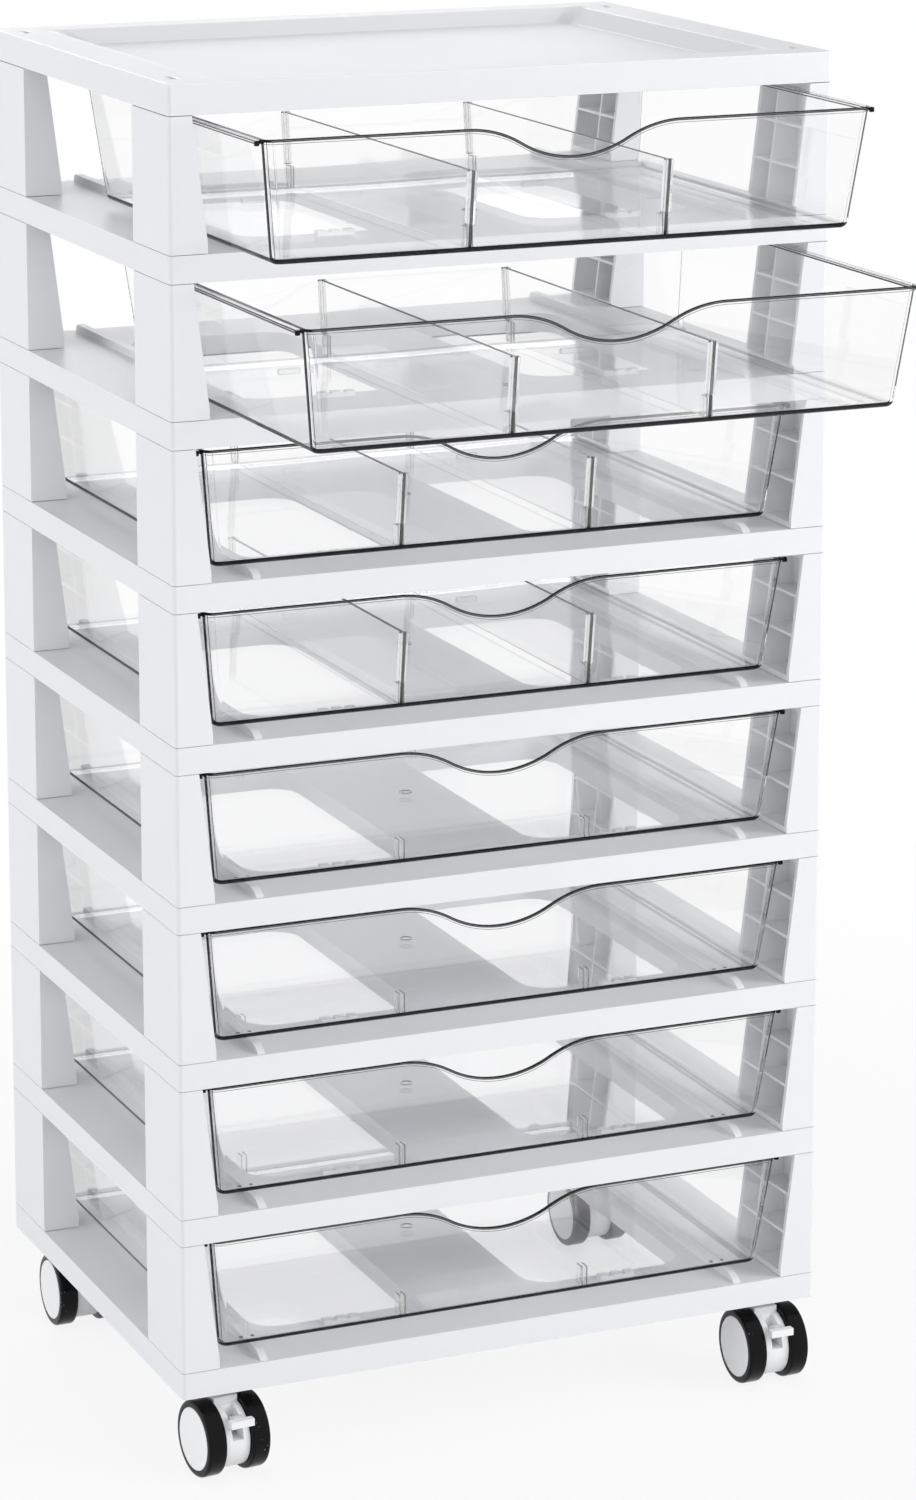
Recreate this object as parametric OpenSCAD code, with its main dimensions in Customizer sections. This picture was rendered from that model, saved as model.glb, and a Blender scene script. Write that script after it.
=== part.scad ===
// Plastic drawer tower: eight clear drawers in a stack of white decks and posts,
// with a tray top, four removable-divider drawers and four twin-wheel casters.
// Millimetres. X to the right, Y to the back, Z up. The ground is z = 0 and the
// origin is under the middle of the whole tower, with its two open drawers.

/* [Tower] */
// overall width of the tower body
body_w = 356; // [340:1:380]
// overall depth of the tower body
body_d = 270; // [262:1:290]
// height of one tier, from one deck to the next
tier_pitch = 81; // [79:0.5:88]
// height of the band round each deck
band_h = 13.7; // [13.2:0.1:14.7]
// height of the band round the top cover
cover_h = 15.5; // [14.5:0.5:18]
// rounding of the upright outside corners
corner_r = 2.2; // [1.4:0.1:3]
// thickness of the deck plates
plate_t = 3; // [2.6:0.1:3.4]
// thickness of the bands, the lips and the post walls
band_t = 2.6; // [2.2:0.1:3]

/* [Tray top] */
// depth of the sunken tray in the top cover
tray_depth = 7; // [5:0.5:8]
// width of the flat edge beside the tray, left and right
tray_side = 25; // [23:0.5:27]
// width of the flat edge beside the tray, front and back
tray_front = 18; // [16:0.5:20]
// how far the sloping tray wall runs in
tray_slope = 12; // [9:0.5:14]

/* [Posts] */
// width of a post at its top, seen from the front
post_top = 12.3; // [11.5:0.1:12.8]
// width of a post at its foot, seen from the front
post_foot = 19.8; // [18:0.1:20.4]
// depth of a post, seen from the side
post_run = 51.5; // [49:0.5:54]

/* [Deck windows and rails] */
// width of the strip between the two windows of a deck
strip_w = 64; // [56:1:70]
// width of the deck beside a window, left and right
win_side = 55; // [54:1:62]
// rounding of the window corners
win_r = 16; // [10:1:20]
// height of the runner rails
rail_h = 4; // [3.8:0.1:4.4]
// distance of each runner rail from the side of the tower
rail_in = 44.4; // [43.5:0.1:45.5]

/* [Drawers] */
// how far the left and right drawer rims stay in from the tower sides
rim_side = 15.7; // [15.3:0.1:16.5]
// how far the drawer fronts stay back from the tower front
setback = 7.3; // [6.5:0.1:8.5]
// lean of the drawer sides over their height
side_lean = 7.0; // [6:0.1:7.4]
// lean of the drawer front and back over their height
front_lean = 7.6; // [6.5:0.1:8.4]
// thickness of the drawer walls
wall_t = 2; // [1.8:0.1:2.2]
// depth of the finger dip in a drawer front
dip_depth = 15.5; // [12:0.5:18]
// width of the finger dip
dip_w = 112; // [104:1:120]
// distance of each divider from the middle of the drawer
divider_x = 51.5; // [46:0.5:56]
// height of a divider
divider_h = 37.8; // [34:0.2:39]
// full travel of a drawer
travel = 190; // [170:5:195]
// how far the top drawer stands open
open_1 = 85.7; // [0:0.1:160]
// how far the second drawer stands open
open_2 = 135.7; // [60:0.1:160]

/* [Casters] */
// diameter of a caster wheel
wheel_d = 39.5; // [38.5:0.5:41]
// width of one wheel
wheel_t = 10.1; // [9.6:0.1:10.6]
// width over both wheels of a caster
caster_w = 34.4; // [34:0.1:36]
// distance from a tower side to the caster stem
stem_in = 24.2; // [23.5:0.1:25]
// how far the axle is offset from the stem
trail = 13.9; // [13.5:0.1:14.5]
// turn of the front left caster
turn_front_left = 5.5; // [0:0.5:8]

/* [Hidden] */
$fn = 48;
e = 0.01;
tiers = 8;
run_gap = 0.1;          // running gap on flat faces
pin_gap = 0.05;         // running gap round a pin
seat_gap = 0.2;         // gap round a tab or a peg in its hole

post_h = tier_pitch - band_h;
reach = max(0, max(open_1, open_2) - setback);
front_y = (reach - body_d) / 2;

// caster heights, measured from the axle
wheel_r = wheel_d / 2;
flange_z = wheel_r + 0.45;
flange_h = 3.4;
collar_h = 1.5;
axle_drop = flange_z + flange_h + run_gap + collar_h;
lift = wheel_r + axle_drop;      // ground to the underside of the lowest deck

function deck_z(k) = lift + (tiers - k) * tier_pitch;
cover_z = lift + tiers * tier_pitch;

// drawer heights and outlines, z = 0 under its floor
drawer_h = tier_pitch - band_h - rail_h - run_gap - 3.5;
floor_t = 2.2;
flange_w = 3.5;
half_t = body_w / 2 - rim_side - flange_w;
half_b = half_t - side_lean;
yt0 = setback + 0.3;
yt1 = body_d - yt0;
yb0 = yt0 + front_lean;
yb1 = body_d - yb0;

// catch: a lug under the drawer's back meets a row of teeth at full travel
lug_in = 25.2;          // from the drawer's back to the lug
lug_w = 12;
lug_t = 3;
lug_h = 2.9;
lug_gap = 0.6;          // between lug and teeth at full travel
lug_y = yb1 - lug_in;
comb_x = 78.5;
comb_t = 5;
comb_h = 2.6;
comb_y = lug_y - lug_gap - travel - comb_t;
tooth_w = 4.8;
tooth_pitch = 7.4;
comb_w = 2 * tooth_pitch + tooth_w;

// deck; its windows start behind the catch teeth
win_front = comb_y + comb_t + 4;
win_back = 45;
win_w = (body_w - strip_w) / 2 - win_side;
win_d = body_d - win_front - win_back;
win_x = strip_w / 2 + win_w / 2;
win_y = win_front + win_d / 2;
lip_h = band_h - 3.7;
pad_w = 34;
pad_d = post_run + 0.5;
rail_w = 4;
rail_x = body_w / 2 - rail_in;
tab_w = 3.2;
tab_d = 10.4;
tab_x = post_top - tab_w / 2;     // from the tower side
tab_y = 24;                       // from the tower front or back
slot_w = tab_w + 2 * seat_gap;
slot_d = tab_d + 2 * seat_gap;
tab_h = band_h - 2.7;
peg_d = 4.6;
peg_h = 5;
peg_x = 7.6;
peg_y = [9.5, post_run - 9.5];

// details of the drawer
guide_t = 1.2;
guide_h = 2.4;
guide_in = 12;          // from the drawer's front and back to the guide ribs
guide_x = rail_w / 2 + 0.3 + guide_t / 2;
clip_t = 1.3;
clip_d = 6.5;
clip_h = 11.6;
clip_gap = 0.15;
gate_d = 7;
divider_t = 1.8;
bead_w = 4.6;
bead_d = 3;
cut_y = 40;             // the cuts that shape the front reach this far back
cut_d = 60;

// caster
gap_w = 0.5;
drum_w = caster_w - 2 * wheel_t - 2 * gap_w;
drum_r = 16.8;
axle_d = 5;
cap_d = 32.2;
cap_t = 2.2;
stem_d = 8;
stem_len = 11;
bulb_d = 9.4;
lever_y = -7.5;
lever_z = 8;
lever_pin = 2.8;
slot_t = 6.2;

white = [0.93, 0.93, 0.94];
clear = [0.82, 0.86, 0.90, 0.45];
black = [0.05, 0.05, 0.06];
steel = [0.70, 0.71, 0.73];

// ---------- helpers ----------

// rectangle with rounded corners, centred
module round_rect(w, d, r) {
  square([w - 2 * r, d], center = true);
  square([w, d - 2 * r], center = true);
  for (i = [-1, 1], j = [-1, 1])
    translate([i * (w / 2 - r), j * (d / 2 - r)]) circle(r);
}

// place something at the four corners of the tower, measured inward from each
module at_corners() {
  for (i = [0, 1], j = [0, 1])
    translate([i == 0 ? -body_w / 2 : body_w / 2, j == 0 ? 0 : body_d, 0])
      mirror([i, 0, 0]) mirror([0, j, 0]) children();
}

// block with sloping sides: half widths hb, ht; depth from b0..b1 to t0..t1
module sloped(hb, ht, b0, b1, t0, t1, z0, z1) {
  big = body_w;
  intersection() {
    translate([0, 2 * big, 0]) rotate([90, 0, 0]) linear_extrude(height = 4 * big)
      polygon([[-hb, z0], [hb, z0], [ht, z1], [-ht, z1]]);
    translate([-big, 0, 0]) rotate([90, 0, 90]) linear_extrude(height = 2 * big)
      polygon([[b0, z0], [b1, z0], [t1, z1], [t0, z1]]);
  }
}

// the same block with its upright corners cut back by c
module sloped_cut(hb, ht, b0, b1, t0, t1, z0, z1, c) {
  mid = (b0 + b1) / 2;
  qb = (hb + (b1 - b0) / 2) / sqrt(2) - c;
  qt = (ht + (t1 - t0) / 2) / sqrt(2) - c;
  intersection() {
    sloped(hb, ht, b0, b1, t0, t1, z0, z1);
    translate([0, mid, 0]) rotate([0, 0, 45]) sloped(qb, qt, -qb, qb, -qt, qt, z0, z1);
  }
}

// ---------- tower body ----------

module window_2d(grow = 0) {
  for (s = [-1, 1]) translate([s * win_x, win_y])
    round_rect(win_w + 2 * grow, win_d + 2 * grow, win_r + grow);
}

module slots(h) {
  at_corners() translate([tab_x - slot_w / 2, tab_y - slot_d / 2, -1])
    cube([slot_w, slot_d, h + 2]);
}

module rail() {
  // runner with a rounded lead-in at the front
  translate([-rail_w / 2, 0, -e]) rotate([90, 0, 90]) linear_extrude(height = rail_w)
    polygon([[1.8, 0], [body_d - 4, 0], [body_d - 4, rail_h * 0.5 + e], [body_d - 6, rail_h + e],
      [12, rail_h + e], [8, rail_h * 0.86 + e], [5, rail_h * 0.6 + e], [3, rail_h * 0.3 + e]]);
}

module deck(lowest = false) {
  difference() {
    union() {
      // skirt, lips, pads and ribs
      difference() {
        translate([0, body_d / 2, 0]) linear_extrude(height = band_h)
          round_rect(body_w, body_d, corner_r);
        difference() {
          translate([-body_w / 2 + band_t, band_t, -1])
            cube([body_w - 2 * band_t, body_d - 2 * band_t, band_h + 1 - plate_t]);
          translate([0, 0, band_h - lip_h]) linear_extrude(height = band_h) window_2d(band_t);
          at_corners() translate([-1, -1, -2]) cube([pad_w + 1, pad_d + 1, band_h + 3]);
          for (s = [-1, 1]) translate([s * rail_x - 1, 0, 3]) cube([2, body_d, band_h]);
          for (s = [-1, 1], y = [body_d * 0.38, body_d * 0.62])
            translate([s < 0 ? -body_w / 2 : body_w / 2 - win_side, y - 1, 3])
              cube([win_side, 2, band_h]);
          translate([-strip_w / 2, body_d / 2 - 1, 3]) cube([strip_w, 2, band_h]);
        }
      }
      for (s = [-1, 1]) translate([s * rail_x, 0, band_h]) rail();
      // catch teeth for the drawer lugs
      for (s = [-1, 1], i = [-1, 0, 1])
        translate([s * comb_x + i * tooth_pitch - tooth_w / 2, comb_y, band_h - e])
          cube([tooth_w, comb_t, comb_h + e]);
      for (s = [-1, 1])
        translate([s * comb_x - comb_w / 2, comb_y, band_h - e])
          cube([comb_w, 1.8, comb_h * 0.7 + e]);
    }
    translate([0, 0, -1]) linear_extrude(height = band_h + 2) window_2d();
    slots(band_h);
    // peg holes for the posts above
    at_corners() for (y = peg_y) translate([peg_x, y, band_h - peg_h - seat_gap])
      cylinder(d = peg_d + 2 * seat_gap, h = peg_h + 1);
    if (lowest)
      at_corners() translate([stem_in, stem_in, -1]) cylinder(d = stem_d + 0.04, h = stem_len + 1.2);
  }
}

module deck_at(k) {
  color(white) translate([0, front_y, deck_z(k)]) deck(k == tiers);
}

module cover() {
  under = cover_h - tray_depth - plate_t;
  difference() {
    translate([0, body_d / 2, 0]) linear_extrude(height = cover_h)
      round_rect(body_w, body_d, corner_r);
    // hollow underside
    difference() {
      union() {
        translate([-body_w / 2 + band_t, band_t, -1])
          cube([body_w - 2 * band_t, body_d - 2 * band_t, under + 1]);
        difference() {
          translate([-body_w / 2 + band_t, band_t, -1])
            cube([body_w - 2 * band_t, body_d - 2 * band_t, cover_h + 1 - plate_t]);
          translate([-body_w / 2 + tray_side - band_t, tray_front - band_t, -2])
            cube([body_w - 2 * tray_side + 2 * band_t, body_d - 2 * tray_front + 2 * band_t,
              cover_h + 3]);
        }
      }
      at_corners() translate([-1, -1, -2]) cube([pad_w + 1, pad_d + 1, cover_h + 3]);
      for (s = [-1, 0, 1]) translate([s * 90 - 1, 0, 2.5]) cube([2, body_d, cover_h]);
    }
    // the tray
    sloped_cut(body_w / 2 - tray_side - tray_slope, body_w / 2 - tray_side + tray_slope / tray_depth,
      tray_front + tray_slope, body_d - tray_front - tray_slope,
      tray_front - tray_slope / tray_depth, body_d - tray_front + tray_slope / tray_depth,
      cover_h - tray_depth, cover_h + 1, 3.5);
    slots(cover_h);
  }
}

module top_cover() { color(white) translate([0, front_y, cover_z]) cover(); }

// one post for the front left corner, z = 0 at its foot
module post() {
  lean = post_foot - post_top;
  rib_z = [post_h * 0.36, post_h * 0.665];
  difference() {
    intersection() {
      translate([0, post_run, 0]) rotate([90, 0, 0]) linear_extrude(height = post_run)
        polygon([[0, 0], [post_foot, 0], [post_foot, 5], [post_top, post_h], [0, post_h]]);
      difference() {
        translate([0, 0, -1]) cube([post_foot + 5, post_run, post_h + 2]);
        translate([0, 0, -2]) difference() {
          translate([-1, -1, 0]) cube([corner_r + 1, corner_r + 1, post_h + 4]);
          translate([corner_r, corner_r, -1]) cylinder(r = corner_r, h = post_h + 6);
        }
      }
    }
    // six pockets, open to the drawer, leave the walls and the ribs
    for (c = [[band_t, post_run * 0.6 - 0.8], [post_run * 0.6 + 0.8, post_run - band_t]],
         r = [[plate_t, rib_z[0] - 0.7], [rib_z[0] + 0.7, rib_z[1] - 0.7],
              [rib_z[1] + 0.7, post_h - plate_t]])
      translate([band_t, c[0], r[0]]) cube([post_foot, c[1] - c[0], r[1] - r[0]]);
  }
  // snap tab on top and two pegs below
  translate([tab_x - tab_w / 2, tab_y - tab_d / 2, post_h - e]) cube([tab_w, tab_d, tab_h + e]);
  for (y = peg_y) translate([peg_x, y, -peg_h]) cylinder(d = peg_d, h = peg_h + e);
}

module posts(right, back) {
  color(white)
    for (k = [1:tiers])
      translate([right ? body_w / 2 : -body_w / 2, back ? front_y + body_d : front_y,
        deck_z(k) + band_h])
        mirror([right ? 1 : 0, 0, 0]) mirror([0, back ? 1 : 0, 0]) post();
}

module front_left_posts() { posts(false, false); }
module front_right_posts() { posts(true, false); }
module back_left_posts() { posts(false, true); }
module back_right_posts() { posts(true, true); }

// ---------- drawers ----------

// everything above the dipped front edge, lowered by d
module above_dip(d) {
  h = dip_w / 2;
  a = 2 * atan(dip_depth / h);
  r = h / 2 / sin(a);
  zt = drawer_h - d;
  zb = zt - dip_depth;
  m = r * sin(a);
  difference() {
    union() {
      translate([-h, zt - dip_depth / 2]) square([2 * h, dip_depth / 2 + 20]);
      intersection() {
        translate([0, zb + r]) circle(r, $fn = 96);
        translate([-m, zb - 1]) square([2 * m, dip_depth / 2 + 1.5]);
      }
    }
    for (s = [-1, 1]) intersection() {
      translate([s * h, zt - r]) circle(r, $fn = 96);
      translate([s > 0 ? m : -h - 5, zt - dip_depth / 2 - 1]) square([h - m + 5, dip_depth]);
    }
  }
  translate([-body_w, zt]) square([2 * body_w, 20]);
}

// a flat outline, seen from the front, run through the drawer front
module front_cut() {
  translate([0, cut_y, 0]) rotate([90, 0, 0]) linear_extrude(height = cut_d) children();
}

module drawer() {
  k = side_lean / drawer_h;
  q = front_lean / drawer_h;
  difference() {
    union() {
      difference() {
        sloped_cut(half_b, half_t, yb0, yb1, yt0, yt1, 0, drawer_h, 2.5);
        sloped_cut(half_b - wall_t + k * floor_t, half_t - wall_t + k,
          yb0 + wall_t - q * floor_t, yb1 - wall_t + q * floor_t,
          yt0 + wall_t - q, yt1 - wall_t + q, floor_t, drawer_h + 1, 2.2);
      }
      // thick front edge that follows the dip
      intersection() {
        sloped(half_b - 5, half_t - 5, yb0 - 0.3, yb0 + wall_t + 0.7,
          yt0 - 0.3, yt0 + wall_t + 0.7, 0, drawer_h);
        front_cut() above_dip(2.6);
      }
      // thick back edge
      intersection() {
        sloped(half_b - 5, half_t - 5, yb1 - wall_t - 0.7, yb1 + 0.3,
          yt1 - wall_t - 0.7, yt1 + 0.3, 0, drawer_h);
        translate([-body_w, 0, drawer_h - 2.6]) cube([2 * body_w, body_d, 2.6]);
      }
      // side rims
      for (s = [-1, 1])
        translate([s > 0 ? half_t - 1.5 : -half_t - flange_w, yt0 + 2.2, drawer_h - 2.4])
          cube([flange_w + 1.5, yt1 - yt0 - 4.4, 2.4]);
      // guide ribs astride the runner rails
      for (s = [-1, 1], t = [-1, 1])
        translate([s * rail_x + t * guide_x - guide_t / 2, yb0 + guide_in, -guide_h])
          cube([guide_t, yb1 - yb0 - 2 * guide_in, guide_h + 1]);
      // catch lugs
      for (s = [-1, 1])
        translate([s * comb_x - lug_w / 2, lug_y, -lug_h]) cube([lug_w, lug_t, lug_h + 1]);
      // divider clips, front and back
      for (s = [-1, 1], t = [-1, 1], b = [0, 1])
        translate([s * divider_x + t * (divider_t + clip_t + 2 * clip_gap) / 2 - clip_t / 2,
          b == 0 ? yb0 + 1 : yb1 - 1 - clip_d, 1]) cube([clip_t, clip_d, clip_h]);
      // gate mark on the floor
      translate([0, body_d / 2, 1]) cylinder(d = gate_d, h = floor_t - 0.6);
    }
    front_cut() above_dip(0);
  }
}

function opened(k) = k == 1 ? open_1 : k == 2 ? open_2 : 0;

module in_tier(k) {
  translate([0, front_y - opened(k), deck_z(k) + band_h + rail_h + run_gap]) children();
}

module drawer_at(k) { color(clear) in_tier(k) drawer(); }

module divider(s) {
  q = front_lean / drawer_h;
  g = 0.25;
  zt = floor_t + divider_h;
  z0 = floor_t + run_gap;
  // where the inner faces of the front and back walls stand at height z
  function f(z) = yb0 + wall_t - q * z + g;
  function b(z) = yb1 - wall_t + q * z - g;
  translate([s * divider_x, 0, 0]) {
    translate([-divider_t / 2, 0, 0]) rotate([90, 0, 90]) linear_extrude(height = divider_t)
      polygon([[f(z0), z0], [b(z0), z0], [b(zt), zt], [f(zt), zt]]);
    zc = 1 + clip_h + 0.3;
    for (m = [0, 1]) translate([-bead_w / 2, 0, 0]) rotate([90, 0, 90])
      linear_extrude(height = bead_w) polygon(m == 0 ?
        [[f(zc), zc], [f(zc) + bead_d, zc], [f(zt) + bead_d, zt], [f(zt), zt]] :
        [[b(zc) - bead_d, zc], [b(zc), zc], [b(zt), zt], [b(zt) - bead_d, zt]]);
  }
}

module divider_at(k, s) { color(clear) in_tier(k) divider(s); }

// ---------- casters ----------

// children are drawn with the axle at the origin; the stem stands at y = trail
module in_caster(right, back) {
  turn = (!right && !back) ? turn_front_left : 0;
  translate([right ? body_w / 2 - stem_in : -body_w / 2 + stem_in,
    back ? front_y + body_d - stem_in : front_y + stem_in, wheel_r])
    rotate([0, 0, turn]) translate([0, -trail, 0]) children();
}

// side: -1 left, 1 right; the part is drawn along +X for side 1
module on_side(side) { mirror([side < 0 ? 1 : 0, 0, 0]) children(); }

module stem() {
  translate([0, trail, 0]) {
    translate([0, 0, axle_drop - collar_h - 0.1]) cylinder(d = stem_d, h = stem_len + collar_h + 0.1);
    translate([0, 0, axle_drop - collar_h]) cylinder(d = 14, h = collar_h);
    translate([0, 0, 10]) cylinder(d = stem_d, h = axle_drop - 10);
    translate([0, 0, 8.2]) cylinder(d = bulb_d, h = 3);
  }
}

module housing(brake) {
  difference() {
    union() {
      rotate([0, 90, 0]) translate([0, 0, -drum_w / 2]) cylinder(r = drum_r, h = drum_w, $fn = 96);
      translate([-drum_w / 2, -2, 0]) cube([drum_w, trail + 4, flange_z]);
      intersection() {
        translate([0, trail, 0]) cylinder(r = 10, h = flange_z);
        translate([-drum_w / 2, 0, 0]) cube([drum_w, trail + 12, flange_z]);
      }
      translate([0, trail, flange_z - e]) cylinder(r = 10, h = flange_h + e);
    }
    rotate([0, 90, 0]) translate([0, 0, -drum_w]) cylinder(d = axle_d + 0.04, h = 2 * drum_w);
    translate([0, trail, 8]) cylinder(d = stem_d + 2 * pin_gap, h = 40);
    translate([0, trail, 7.9]) cylinder(d = bulb_d + 0.3, h = 3.5);
    if (brake) {
      translate([-slot_t / 2, -20, 2]) cube([slot_t, 16.8, 15.5]);
      translate([-5.3, lever_y, lever_z]) rotate([0, 90, 0])
        cylinder(d = lever_pin + 2 * pin_gap, h = 10.6);
    }
  }
}

module axle() {
  x = caster_w / 2 - cap_t - 0.3;
  rotate([0, 90, 0]) translate([0, 0, -x + 1.2]) cylinder(d = axle_d, h = 2 * x - 2.4);
  for (s = [-1, 1]) on_side(s) translate([x - 1.2, 0, 0]) rotate([0, 90, 0])
    cylinder(d = 7.6, h = 1.2);
}

module wheel() {
  x0 = caster_w / 2 - wheel_t;
  x1 = caster_w / 2;
  rotate([90, 0, 90]) rotate_extrude($fn = 96) difference() {
    polygon([[axle_d / 2 + pin_gap, x0 + 0.2], [6.5, x0 + 0.2], [6.5, x0 + 3],
      [wheel_r - 4.2, x0 + 3], [wheel_r - 4.2, x0], [wheel_r - 1.6, x0], [wheel_r - 0.5, x0 + 0.5],
      [wheel_r, x0 + 1.6], [wheel_r, x1 - 1.9], [wheel_r - 0.6, x1 - 0.6], [wheel_r - 1.9, x1],
      [axle_d / 2 + pin_gap, x1]]);
    translate([0, x1 - cap_t]) square([cap_d / 2 + seat_gap, 10]);
    translate([0, x1 - cap_t - 0.3 - 1.2 - run_gap]) square([4.2, 10]);
  }
}

module cap() {
  x1 = caster_w / 2;
  rotate([90, 0, 90]) rotate_extrude($fn = 96)
    polygon([[0, x1 - cap_t], [cap_d / 2, x1 - cap_t], [cap_d / 2, x1 - 0.5],
      [cap_d / 2 - 0.6, x1 - 0.1], [cap_d / 2 - 5, x1 + 0.3], [0, x1 + 0.5]]);
}

module lever() {
  translate([-slot_t / 2 + 0.3, 0, 0]) rotate([90, 0, 90]) linear_extrude(height = slot_t - 0.6) {
    translate([lever_y, lever_z]) circle(3.2);
    polygon([[lever_y - 1, lever_z - 3], [lever_y + 1.4, lever_z + 2.6], [-13.5, 14.2],
      [-20, 14.6], [-20, 11], [-14, 8.2]]);
  }
  translate([-6.4, -22.4, 10.8]) cube([12.8, 3.8, 3.8]);
  translate([-5, lever_y, lever_z]) rotate([0, 90, 0]) cylinder(d = lever_pin, h = 10);
}

module stem_at(r, b) { color(steel) in_caster(r, b) stem(); }
module housing_at(r, b) { color(white) in_caster(r, b) housing(!b); }
module axle_at(r, b) { color(steel) in_caster(r, b) axle(); }
// the outer wheel is on the side away from the middle of the tower
module wheel_at(r, b, outer) { color(black) in_caster(r, b) on_side(r == outer ? 1 : -1) wheel(); }
module cap_at(r, b, outer) { color(white) in_caster(r, b) on_side(r == outer ? 1 : -1) cap(); }
module brake_at(r) { color(white) in_caster(r, false) lever(); }

// ---------- nodes ----------

top_cover();
deck_at(1);  // deck_1
deck_at(2);  // deck_2
deck_at(3);  // deck_3
deck_at(4);  // deck_4
deck_at(5);  // deck_5
deck_at(6);  // deck_6
deck_at(7);  // deck_7
deck_at(8);  // deck_8
front_left_posts();
front_right_posts();
back_left_posts();
back_right_posts();
drawer_at(1);  // drawer_1
drawer_at(2);  // drawer_2
drawer_at(3);  // drawer_3
drawer_at(4);  // drawer_4
drawer_at(5);  // drawer_5
drawer_at(6);  // drawer_6
drawer_at(7);  // drawer_7
drawer_at(8);  // drawer_8
divider_at(1, -1);  // divider_1_left
divider_at(1, 1);  // divider_1_right
divider_at(2, -1);  // divider_2_left
divider_at(2, 1);  // divider_2_right
divider_at(3, -1);  // divider_3_left
divider_at(3, 1);  // divider_3_right
divider_at(4, -1);  // divider_4_left
divider_at(4, 1);  // divider_4_right
stem_at(false, false);  // stem_front_left
stem_at(true, false);  // stem_front_right
stem_at(false, true);  // stem_back_left
stem_at(true, true);  // stem_back_right
housing_at(false, false);  // housing_front_left
housing_at(true, false);  // housing_front_right
housing_at(false, true);  // housing_back_left
housing_at(true, true);  // housing_back_right
axle_at(false, false);  // axle_front_left
axle_at(true, false);  // axle_front_right
axle_at(false, true);  // axle_back_left
axle_at(true, true);  // axle_back_right
wheel_at(false, false, true);  // wheel_front_left_outer
wheel_at(false, false, false);  // wheel_front_left_inner
wheel_at(true, false, true);  // wheel_front_right_outer
wheel_at(true, false, false);  // wheel_front_right_inner
wheel_at(false, true, true);  // wheel_back_left_outer
wheel_at(false, true, false);  // wheel_back_left_inner
wheel_at(true, true, true);  // wheel_back_right_outer
wheel_at(true, true, false);  // wheel_back_right_inner
cap_at(false, false, true);  // cap_front_left_outer
cap_at(false, false, false);  // cap_front_left_inner
cap_at(true, false, true);  // cap_front_right_outer
cap_at(true, false, false);  // cap_front_right_inner
cap_at(false, true, true);  // cap_back_left_outer
cap_at(false, true, false);  // cap_back_left_inner
cap_at(true, true, true);  // cap_back_right_outer
cap_at(true, true, false);  // cap_back_right_inner
brake_at(false);  // brake_front_left
brake_at(true);  // brake_front_right
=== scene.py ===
# %% [markdown]
# # A plastic drawer tower on casters
# The real object is a stack of eight clear drawers in a white frame. The frame is
# made of flat decks, tapered corner posts and a cover with a sunken tray, and it
# rolls on four small twin-wheel casters. Every solid already exists as an exact
# model, in metres, with the ground at z = 0. This lesson loads it as a frame and
# gives each part its finished look: rounded edges, clear walls and real surfaces.

# %% Load the frame
import math

import bpy
from mathutils import Matrix, Vector


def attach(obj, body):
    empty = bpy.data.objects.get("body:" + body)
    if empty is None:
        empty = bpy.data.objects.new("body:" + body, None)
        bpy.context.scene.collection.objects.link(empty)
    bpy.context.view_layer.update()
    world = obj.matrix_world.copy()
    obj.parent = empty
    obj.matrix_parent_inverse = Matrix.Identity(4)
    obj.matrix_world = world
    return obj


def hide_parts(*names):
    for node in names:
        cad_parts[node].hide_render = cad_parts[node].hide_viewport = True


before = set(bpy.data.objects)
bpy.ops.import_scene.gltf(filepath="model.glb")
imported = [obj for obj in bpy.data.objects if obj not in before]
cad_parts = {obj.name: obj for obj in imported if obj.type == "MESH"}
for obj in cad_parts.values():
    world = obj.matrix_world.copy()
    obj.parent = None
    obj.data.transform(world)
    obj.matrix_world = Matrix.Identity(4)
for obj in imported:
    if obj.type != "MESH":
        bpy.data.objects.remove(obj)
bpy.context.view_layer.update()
bpy.ops.object.select_all(action="DESELECT")

# %% [markdown]
# ## Sizes
# The sizes are those of the exact model, in millimetres. Only the few that the new
# pieces need are repeated here. `tier_floor(k)` is the underside of drawer k.

# %% Sizes
MM = 0.001
BODY_W, BODY_D = 356.0, 270.0
TIER, BAND, COVER = 81.0, 13.7, 15.5
TRAY_SIDE, TRAY_FRONT, TRAY_SLOPE, TRAY_DEPTH = 25.0, 18.0, 12.0, 7.0
LIFT = 44.95
FRONT = -70.8
OPEN = {1: 85.7, 2: 135.7}
HALF_T, HALF_B = 158.8, 151.8
YT0, YB0 = 7.6, 15.2
DRAWER_H, WALL = 59.7, 2.0
RAIL_X, COMB_X, DIVIDER_X = 133.6, 78.5, 51.5
DIP_DEPTH, DIP_HALF = 15.5, 56.0
LEAN = (YB0 - YT0) / DRAWER_H
DRAWER_UP = 4.1


def deck_z(k):
    return LIFT + (8 - k) * TIER


def tier_floor(k):
    return deck_z(k) + BAND + DRAWER_UP


print("total height", deck_z(0) + COVER)

# %% [markdown]
# ## Shader arithmetic
# A material is a small network of nodes. Writing `0.4 + 0.1 * grain` is easier to
# read than adding and wiring four nodes by hand, so a socket is wrapped in a class
# that adds a Math node for each operator. `Paint` adds any other node: `any_ray` is 1
# for the kinds of ray it is given and 0 for the rest, which lets a surface be one
# thing to the camera and another to a lamp.


# %% The shader helper
MIX_A, MIX_B, MIX_RESULT = 6, 7, 2  # the colour sockets of a Mix node


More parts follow.
